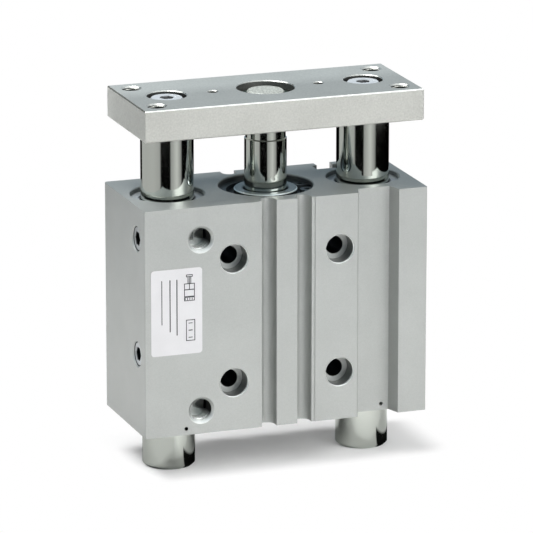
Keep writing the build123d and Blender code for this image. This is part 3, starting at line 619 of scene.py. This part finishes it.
def bonded_magnet(settings):
    """Plastic bonded magnet powder: a dull, coarse dark grain."""
    return grained(
        "bonded_magnet", settings.magnet, grain=0.15 * MM, amount=0.25,
        roughness=0.6, metallic=0.2, rise=0.3,
    )


def filled_plastic(settings):
    """Bronze filled sliding plastic: dull brown with fine specks."""
    return grained(
        "filled_sliding_plastic", settings.plastic, grain=0.15 * MM, amount=0.15,
        roughness=0.5, metallic=0.1, rise=0.2,
    )


def label_film(settings):
    """White vinyl film: smooth, faintly uneven."""
    return grained(
        "white_label_film", settings.label, grain=0.5 * MM, amount=0.012,
        roughness=0.45, metallic=0.0, rise=0.05,
    )


def printing_ink(settings):
    """Screen printed ink, a little uneven."""
    return grained(
        "printing_ink", settings.ink, grain=0.2 * MM, amount=0.2,
        roughness=0.5, metallic=0.0, rise=0.05, depth=0.005 * MM,
    )


# Cards round the cylinder: degrees from the camera, to its right, and how light they are
CARDS = (
    (-180, 0.0),
    (-130, 0.0),
    (-126, 0.62),
    (-60, 0.66),
    (-34, 0.55),
    (-28, 0.0),
    (8, 0.0),
    (11, 0.45),
    (38, 0.85),
    (58, 0.40),
    (64, 0.0),
    (180, 0.0),
)

# Which finish each CAD node gets
NODE_FINISHES = {
    anodised_extrusion: ("cylinder_body",),
    nickel_plate: ("tool_plate",),
    hard_chrome: ("left_guide_rod", "right_guide_rod", "piston_rod"),
    front_cover_aluminium: ("front_cover",),
    turned_aluminium: ("rear_cover", "piston"),
    sintered_bronze: (
        "rod_bush",
        "left_upper_guide_bush",
        "left_lower_guide_bush",
        "right_upper_guide_bush",
        "right_lower_guide_bush",
    ),
    nitrile_rubber: (
        "rod_seal",
        "rod_wiper",
        "front_cover_o_ring",
        "front_bumper",
        "rear_cover_o_ring",
        "rear_bumper",
        "piston_seal",
        "piston_o_ring",
    ),
    phosphated_spring_steel: (
        "front_retaining_ring",
        "rear_retaining_ring",
        "left_lower_retaining_ring",
        "right_lower_retaining_ring",
    ),
    pressed_scraper: ("left_guide_scraper", "right_guide_scraper"),
    black_oxide: ("plate_nut",),
    zinc_flake: ("guide_rod_screws",),
    zinc_plate: ("side_port_plugs", "passage_plug_ball", "piston_nut"),
    bonded_magnet: ("piston_magnet",),
    filled_plastic: ("piston_guide_ring",),
}


def clear_selection():
    """Leave edit mode and select nothing."""
    if bpy.context.object and bpy.context.object.mode != "OBJECT":
        bpy.ops.object.mode_set(mode="OBJECT")
    bpy.ops.object.select_all(action="DESELECT")


def settle(piece):
    """Apply the piece's place, turn and scale, so that its object sits at the world origin."""
    clear_selection()
    piece.select_set(True)
    bpy.context.view_layer.objects.active = piece
    bpy.ops.object.transform_apply(location=True, rotation=True, scale=True)


def apply_modifier(piece, kind, **settings):
    """Add a modifier and apply it."""
    clear_selection()
    piece.select_set(True)
    bpy.context.view_layer.objects.active = piece
    modifier = piece.modifiers.new(kind.lower(), kind)
    for name, value in settings.items():
        setattr(modifier, name, value)
    bpy.ops.object.modifier_apply(modifier=modifier.name)


def dress(piece, name, material, body):
    """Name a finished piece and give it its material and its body."""
    piece.name = name
    piece.data.name = name
    piece.data.materials.clear()
    piece.data.materials.append(material)
    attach(piece, body)


def thin_plate(width, height, thickness, corner):
    """A rounded plate that faces -Y, with its back on the origin's plane."""
    clear_selection()
    bpy.ops.mesh.primitive_plane_add(size=1)
    plate = bpy.context.object
    plate.scale = (width, height, 1)
    bpy.ops.object.transform_apply(location=False, rotation=False, scale=True)
    bpy.ops.object.mode_set(mode="EDIT")
    bpy.ops.mesh.select_all(action="SELECT")
    if corner > 0:
        bpy.ops.mesh.bevel(offset=corner, segments=8, affect="VERTICES")
        bpy.ops.mesh.select_all(action="SELECT")
    bpy.ops.mesh.extrude_region_move(TRANSFORM_OT_translate={"value": (0, 0, thickness)})
    bpy.ops.mesh.select_all(action="SELECT")
    bpy.ops.mesh.normals_make_consistent(inside=False)
    bpy.ops.object.mode_set(mode="OBJECT")
    plate.rotation_euler = (pi / 2, 0, 0)
    settle(plate)
    return plate


# Lines printed on the label, in millimetres from its lower left corner: left, low, right, high.
# They are plain rules, the outline of a cylinder and an empty frame.
PRINT_BARS = (
    (14.3, 27.2, 14.6, 29.6),
    (15.4, 27.2, 15.7, 29.6),
    (12.9, 24.6, 17.1, 24.95),
    (14.85, 24.9, 15.15, 29.6),
    (13.2, 20.8, 13.5, 21.6),
    (14.1, 20.8, 14.4, 21.6),
    (15.0, 20.8, 15.3, 21.6),
    (15.9, 20.8, 16.2, 21.6),
    (14.6, 6.2, 16.2, 6.5),
    (14.6, 11.7, 16.2, 12.0),
    (14.6, 8.9, 16.2, 9.3),
    (9.9, 7.5, 10.3, 29.0),
    (7.2, 9.0, 7.6, 29.0),
    (4.05, 12.0, 4.35, 29.0),
)
PRINT_FRAMES = (
    (13.7, 29.6, 16.3, 30.6),
    (12.9, 22.0, 17.1, 27.2),
    (12.9, 20.4, 17.1, 22.0),
    (13.6, 5.0, 17.2, 13.2),
)


def outline_bars(left, low, right, high, stroke):
    """The four bars that draw a frame."""
    return (
        (left, low, right, low + stroke),
        (left, high - stroke, right, high),
        (left, low + stroke, left + stroke, high - stroke),
        (right - stroke, low + stroke, right, high - stroke),
    )


def join(pieces):
    """Join pieces into the first one."""
    clear_selection()
    for piece in pieces:
        piece.select_set(True)
    bpy.context.view_layer.objects.active = pieces[0]
    bpy.ops.object.join()
    return pieces[0]


def thread_ridge(axis, radius, length, pitch, ridge):
    """A helical ridge that stands into a tapped hole, from its mouth at the origin inwards."""
    clear_selection()
    bpy.ops.mesh.primitive_circle_add(vertices=3, radius=ridge, fill_type="NOTHING")
    profile = bpy.context.object
    # One corner of the profile points at the hole's axis
    profile.rotation_euler = (0, 0, -pi / 2)
    settle(profile)
    profile.rotation_euler = (pi / 2, 0, 0)
    profile.location = (-radius, 0, 0)
    settle(profile)
    apply_modifier(
        profile,
        "SCREW",
        axis="Z",
        angle=2 * pi,
        screw_offset=-pitch,
        iterations=max(1, int(length / pitch)),
        steps=28,
        render_steps=28,
        use_merge_vertices=False,
    )
    bpy.ops.object.mode_set(mode="EDIT")
    bpy.ops.mesh.select_all(action="SELECT")
    bpy.ops.mesh.fill_holes(sides=4)
    bpy.ops.mesh.select_all(action="SELECT")
    bpy.ops.mesh.normals_make_consistent(inside=False)
    bpy.ops.object.mode_set(mode="OBJECT")
    profile.rotation_mode = "QUATERNION"
    profile.rotation_quaternion = Vector(axis).to_track_quat("Z", "Y")
    settle(profile)
    return profile


def copied(piece, place):
    """Copy a piece that stands at the origin, with its own mesh, to a place."""
    twin = piece.copy()
    twin.data = piece.data.copy()
    bpy.context.collection.objects.link(twin)
    twin.location = place
    settle(twin)
    return twin


def only_in_metal(card):
    """Make a card a part of the stage that glossy rays alone see."""
    card.visible_camera = False
    card.visible_diffuse = False
    card.visible_shadow = False
    card.visible_transmission = False
    card.visible_volume_scatter = False


class CYLINDER_OT_finishes(bpy.types.Operator):
    """Give every CAD node the material of its real finish"""

    bl_idname = "cylinder.finishes"
    bl_label = "Finishes"

    def execute(self, context):
        settings = context.scene.cylinder_finish
        for finish, nodes in NODE_FINISHES.items():
            material = finish(settings)
            for node in nodes:
                piece = frame["nodes"][node]
                piece.data.materials.clear()
                piece.data.materials.append(material)
        return {"FINISHED"}


class CYLINDER_OT_label(bpy.types.Operator):
    """Stick the plain label on the front, left of the mounting holes"""

    bl_idname = "cylinder.label"
    bl_label = "Label"

    def execute(self, context):
        size = context.scene.cylinder_label
        settings = context.scene.cylinder_finish
        film = thin_plate(size.width, size.height, size.thickness, size.corner)
        film.location = (size.centre_x, FRONT, BODY_LOW.z + size.centre_z)
        settle(film)
        dress(film, "label", label_film(settings), "housing")
        bars = list(PRINT_BARS)
        for frame_box in PRINT_FRAMES:
            bars.extend(outline_bars(*frame_box, size.stroke / MM))
        printed = []
        for left, low, right, high in bars:
            bar = thin_plate(
                (right - left) * MM, (high - low) * MM, size.ink_thickness, size.ink_corner
            )
            bar.location = (
                size.centre_x - size.width / 2 + (left + right) / 2 * MM,
                FRONT - size.thickness,
                BODY_LOW.z + size.centre_z - size.height / 2 + (low + high) / 2 * MM,
            )
            settle(bar)
            printed.append(bar)
        dress(join(printed), "label_print", printing_ink(settings), "housing")
        return {"FINISHED"}


class CYLINDER_OT_threads(bpy.types.Operator):
    """Cut the threads of the ports and of the plate's tapped holes"""

    bl_idname = "cylinder.threads"
    bl_label = "Threads"

    def execute(self, context):
        size = context.scene.cylinder_thread
        extrusion = frame["nodes"]["cylinder_body"].data.materials[0]
        plate = cut_thread(context.scene.cylinder_finish)
        ports = []
        for name in ("upper_port", "lower_port"):
            x, _, z = MOUNTS[name]["pos_m"]
            ports.append((f"{name}_thread", (x, FRONT + size.port_start, z)))
        holes = MOUNTS["plate_screw_holes"]["dims"]
        across, apart = holes["spacing_x_mm"] / 2 * MM, holes["spacing_y_mm"] / 2 * MM
        tapped = [
            (f"plate_thread_{side}_{end}", (x, y, PLATE_HIGH.z - size.screw_start))
            for side, x in (("left", -across), ("right", across))
            for end, y in (("front", -apart), ("back", apart))
        ]
        port_radius = MOUNTS["upper_port"]["dims"]["r_mm"] * MM
        port = thread_ridge((0, -1, 0), port_radius, size.port_length, size.port_pitch, size.depth)
        screw = thread_ridge(UP, holes["hole_r_mm"] * MM, size.screw_length, size.screw_pitch, size.depth)
        for ridge, places, finish, body, slot in (
            (port, ports, extrusion, "housing", "anodised_aluminium"),
            (screw, tapped, plate, "carriage", "nickel_plated_steel"),
        ):
            for name, place in places:
                dress(copied(ridge, place), name, finish, body)
            bpy.data.objects.remove(ridge)
        return {"FINISHED"}


class CYLINDER_OT_stage(bpy.types.Operator):
    """Lay the floor, hang the lights and the cards, and set up the camera"""

    bl_idname = "cylinder.stage"
    bl_label = "Stage"

    def execute(self, context):
        stage = context.scene.cylinder_stage
        self.world(context, stage)
        self.floor(stage)
        self.lights(context, stage)
        self.cards(stage)
        self.back_flag(stage)
        self.camera(context, stage)
        context.scene.view_settings.view_transform = "Standard"
        return {"FINISHED"}

    def world(self, context, stage):
        """White to the camera, dimmer in metal, and a plain level on everything matt."""
        world = bpy.data.worlds.new("studio")
        context.scene.world = world
        world.use_nodes = True
        tree = world.node_tree
        tree.nodes.clear()
        rays = add_node(tree, "ShaderNodeLightPath")
        seen = add_node(
            tree,
            "ShaderNodeMath",
            {"operation": "MAXIMUM"},
            {0: rays.outputs["Is Camera Ray"], 1: rays.outputs["Is Transmission Ray"]},
        )
        plain, metal, white = (
            add_node(tree, "ShaderNodeBackground", inputs={"Color": colour, "Strength": strength})
            for colour, strength in (
                ((1, 1, 1, 1), stage.room_light),
                (linear(stage.sheen_colour), stage.room_sheen),
                ((1, 1, 1, 1), 1.0),
            )
        )
        on_object = add_node(
            tree,
            "ShaderNodeMixShader",
            inputs={0: rays.outputs["Is Glossy Ray"], 1: plain.outputs[0], 2: metal.outputs[0]},
        )
        mixed = add_node(
            tree,
            "ShaderNodeMixShader",
            inputs={0: seen.outputs[0], 1: on_object.outputs[0], 2: white.outputs[0]},
        )
        add_node(tree, "ShaderNodeOutputWorld", inputs={"Surface": mixed.outputs[0]})

    def floor(self, stage):
        """A pale floor, lighter to the camera, so that only the object's own shadow is left on it."""
        clear_selection()
        bpy.ops.mesh.primitive_plane_add(size=stage.floor_size)
        floor = bpy.context.object
        floor.name = "floor"
        material, tree, coordinates = new_material("studio_floor")
        rays = add_node(tree, "ShaderNodeLightPath")
        # Glossy rays see painted shade on the floor at the feet
        painted_floor_shade = add_node(
            tree,
            "ShaderNodeMath",
            {"operation": "MULTIPLY"},
            {0: self.shade_at_feet(tree, coordinates, stage), 1: rays.outputs["Is Glossy Ray"]},
        )
        lit = add_node(tree, "ShaderNodeBsdfDiffuse", inputs={"Color": linear(stage.floor_colour)})
        dark = add_node(tree, "ShaderNodeBsdfDiffuse", inputs={"Color": (0.01, 0.01, 0.01, 1)})
        shaded = add_node(
            tree, "ShaderNodeMixShader", inputs={0: painted_floor_shade.outputs[0], 1: lit.outputs[0], 2: dark.outputs[0]}
        )
        mixed = add_node(
            tree,
            "ShaderNodeMixShader",
            inputs={
                0: rays.outputs["Is Camera Ray"],
                1: shaded.outputs[0],
                2: self.seen_floor(tree, coordinates, stage),
            },
        )
        add_node(tree, "ShaderNodeOutputMaterial", inputs={"Surface": mixed.outputs[0]})
        floor.data.materials.append(material)

    def seen_floor(self, tree, coordinates, stage):
        """What the camera sees: a lit patch that shows the shadow, fading into plain white."""
        share = [stage.floor_share * part for part in linear(stage.floor_colour)[:3]]
        lit = add_node(tree, "ShaderNodeBsdfDiffuse", inputs={"Color": (*share, 1.0)})
        lift = add_node(tree, "ShaderNodeEmission", inputs={"Strength": stage.floor_lift})
        patch = add_node(tree, "ShaderNodeAddShader", inputs={0: lit.outputs[0], 1: lift.outputs[0]})
        white = add_node(tree, "ShaderNodeEmission", inputs={"Strength": 1.0})
        past = coordinates
        for operation, inputs in (
            ("SUBTRACT", {1: stage.pool_middle}),
            ("ABSOLUTE", {}),
            ("SUBTRACT", {1: stage.pool_size}),
            ("MAXIMUM", {1: (0, 0, 0)}),
        ):
            past = add_node(
                tree, "ShaderNodeVectorMath", {"operation": operation}, {0: past, **inputs}
            ).outputs[0]
        away = add_node(tree, "ShaderNodeVectorMath", {"operation": "LENGTH"}, {0: past})
        plain = add_node(
            tree,
            "ShaderNodeMapRange",
            {"interpolation_type": "SMOOTHSTEP"},
            {"Value": away.outputs["Value"], 1: 0.0, 2: stage.pool_edge, 3: 0.0, 4: 1.0},
        )
        return add_node(
            tree,
            "ShaderNodeMixShader",
            inputs={0: plain.outputs[0], 1: patch.outputs[0], 2: white.outputs[0]},
        ).outputs[0]

    def shade_at_feet(self, tree, coordinates, stage):
        """Painted shade on the floor, which the chromed feet mirror."""
        # Painted shade right of each foot, cut off at a slant in front and square behind and outside
        foot = from_nearest(tree, coordinates, CENTRE, GUIDES_APART)
        end = stage.shade_width
        under = 1.0
        for place, direction, low, high, at_low, at_high in (
            (foot, (0.69, 0.73, 0), -5 * MM, -3.8 * MM, 0.0, 1.0),
            (foot, RIGHT, 0.0, 2 * MM, 0.0, 1.0),
            (foot, RIGHT, end, end + 4 * MM, 1.0, 0.0),
            (coordinates, BACK, 28 * MM, 34 * MM, 1.0, 0.0),
            (coordinates, RIGHT, 74 * MM, 76 * MM, 1.0, 0.0),
            (coordinates, LEFT, 74 * MM, 76 * MM, 1.0, 0.0),
        ):
            part = fade(tree, place, direction, low, high, at_low, at_high)
            under = add_node(
                tree, "ShaderNodeMath", {"operation": "MULTIPLY"}, {0: under, 1: part}
            ).outputs[0]
        # Painted shade in a dim patch round the left foot, weaker to its right
        left = from_nearest(tree, coordinates, (-GUIDE_X, 0, 0), ALONE)
        away = off_axis(tree, left, UP)
        near, far = (
            add_node(
                tree, "ShaderNodeMapRange", inputs={"Value": away, 1: low, 2: high, 3: at_low, 4: at_high}
            )
            for low, high, at_low, at_high in ((11 * MM, 26 * MM, 0.85, 0.42), (50 * MM, 62 * MM, 0.42, 0.0))
        )
        kept = near.outputs[0]
        for operation, other in (
            ("MINIMUM", far.outputs[0]),
            ("MULTIPLY", fade(tree, left, RIGHT, 0.0, 14 * MM, 1.0, 0.2)),
            ("MAXIMUM", under),
        ):
            kept = add_node(tree, "ShaderNodeMath", {"operation": operation}, {0: kept, 1: other}).outputs[0]
        return kept

    def lights(self, context, stage):
        """A large softbox in front, to the right, and one overhead, to the left."""
        middle = Vector((0, 0, 0.08))
        for name, turn, height, distance, width, power in (
            ("front_softbox", radians(30), radians(35), 0.8, 0.52, stage.key),
            ("overhead_softbox", radians(-100), radians(65), 1.2, 0.6, stage.top),
        ):
            lamp = bpy.data.lights.new(name, "AREA")
            lamp.energy = power
            lamp.size = width
            lamp_object = bpy.data.objects.new(name, lamp)
            context.scene.collection.objects.link(lamp_object)
            back = Vector((sin(turn) * cos(height), -cos(turn) * cos(height), sin(height)))
            lamp_object.location = middle + back * distance
            lamp_object.rotation_mode = "QUATERNION"
            lamp_object.rotation_quaternion = back.to_track_quat("Z", "Y")

    def cards(self, stage):
        """A low ring of light and dark cards that only metal shows, as the bands down the rods."""
        clear_selection()
        bpy.ops.mesh.primitive_cylinder_add(
            vertices=128, radius=stage.ring_radius, depth=stage.ring_height, end_fill_type="NOTHING"
        )
        ring = bpy.context.object
        ring.name = "card_ring"
        ring.location = (0, 0, stage.ring_height / 2)
        material, tree, coordinates = new_material("cards")
        turned = add_node(
            tree,
            "ShaderNodeMapping",
            inputs={"Vector": coordinates, "Rotation": (0, 0, pi / 2 - stage.azimuth)},
        )
        around = add_node(
            tree, "ShaderNodeTexGradient", {"gradient_type": "RADIAL"}, {"Vector": turned.outputs[0]}
        )
        ramp = add_node(tree, "ShaderNodeValToRGB", inputs={"Fac": around.outputs["Fac"]})
        ramp.color_ramp.interpolation = "LINEAR"
        stops = ramp.color_ramp.elements
        stops.remove(stops[-1])
        stops[0].position = 0
        for angle, level in CARDS:
            stop = stops.new((angle + 180) / 360)
            stop.color = (level, level, level, 1)
        stops.remove(stops[0])
        glow = add_node(tree, "ShaderNodeEmission", inputs={"Color": ramp.outputs["Color"]})
        add_node(tree, "ShaderNodeOutputMaterial", inputs={"Surface": glow.outputs[0]})
        ring.data.materials.append(material)
        only_in_metal(ring)

    def back_flag(self, stage):
        """A card behind, which the flat tops mirror, with a dark gap left of its middle."""
        width, height, away = 2.4, 0.55, 0.8
        gap, gap_half, gap_end, gap_level = -0.29, 0.06, 0.1, 0.02
        clear_selection()
        bpy.ops.mesh.primitive_plane_add(size=1, rotation=(pi / 2, 0, 0))
        flag = bpy.context.object
        flag.name = "back_flag"
        flag.scale = (width, height, 1)
        flag.location = (0, away, height / 2)
        settle(flag)
        material, tree, coordinates = new_material("flag")
        place = from_nearest(tree, coordinates, (gap, 0, 0), ALONE)
        left, right = (
            fade(tree, place, side, gap_half, gap_end, gap_level, stage.flag) for side in (LEFT, RIGHT)
        )
        level = add_node(tree, "ShaderNodeMath", {"operation": "MAXIMUM"}, {0: left, 1: right})
        glow = add_node(
            tree,
            "ShaderNodeEmission",
            inputs={"Color": linear(stage.sheen_colour), "Strength": level.outputs[0]},
        )
        add_node(tree, "ShaderNodeOutputMaterial", inputs={"Surface": glow.outputs[0]})
        flag.data.materials.append(material)
        only_in_metal(flag)

    def camera(self, context, stage):
        """A long lens at the photograph's angle."""
        camera = bpy.data.cameras.new("camera")
        camera.sensor_width = 36
        camera.lens = stage.lens
        camera.clip_start, camera.clip_end = 0.05, 20
        camera_object = bpy.data.objects.new("camera", camera)
        context.scene.collection.objects.link(camera_object)
        back = Vector(
            (
                sin(stage.azimuth) * cos(stage.elevation),
                -cos(stage.azimuth) * cos(stage.elevation),
                sin(stage.elevation),
            )
        )
        camera_object.location = Vector(stage.aim) + back * stage.distance
        camera_object.rotation_euler = (pi / 2 - stage.elevation, 0, stage.azimuth)
        context.scene.camera = camera_object


class CYLINDER_PT_panel(bpy.types.Panel):
    """Lists the steps in the sidebar"""

    bl_idname = "CYLINDER_PT_panel"
    bl_label = "Air Cylinder"
    bl_space_type = "VIEW_3D"
    bl_region_type = "UI"
    bl_category = "Air Cylinder"

    def draw(self, context):
        for operator in OPERATORS:
            self.layout.operator(operator.bl_idname)


SETTINGS = {
    "cylinder_stage": StageSettings,
    "cylinder_finish": FinishSettings,
    "cylinder_label": LabelSettings,
    "cylinder_thread": ThreadSettings,
}
OPERATORS = (
    CYLINDER_OT_finishes,
    CYLINDER_OT_label,
    CYLINDER_OT_threads,
    CYLINDER_OT_stage,
)


def register():
    for name, settings in SETTINGS.items():
        bpy.utils.register_class(settings)
        setattr(bpy.types.Scene, name, bpy.props.PointerProperty(type=settings))
    for cls in OPERATORS + (CYLINDER_PT_panel,):
        bpy.utils.register_class(cls)


def unregister():
    for cls in reversed(OPERATORS + (CYLINDER_PT_panel,)):
        bpy.utils.unregister_class(cls)
    for name, settings in reversed(SETTINGS.items()):
        delattr(bpy.types.Scene, name)
        bpy.utils.unregister_class(settings)


def main():
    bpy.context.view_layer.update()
    register()
    bpy.ops.cylinder.finishes()
    bpy.ops.cylinder.label()
    bpy.ops.cylinder.threads()
    bpy.ops.cylinder.stage()


if __name__ == "__main__":
    main()
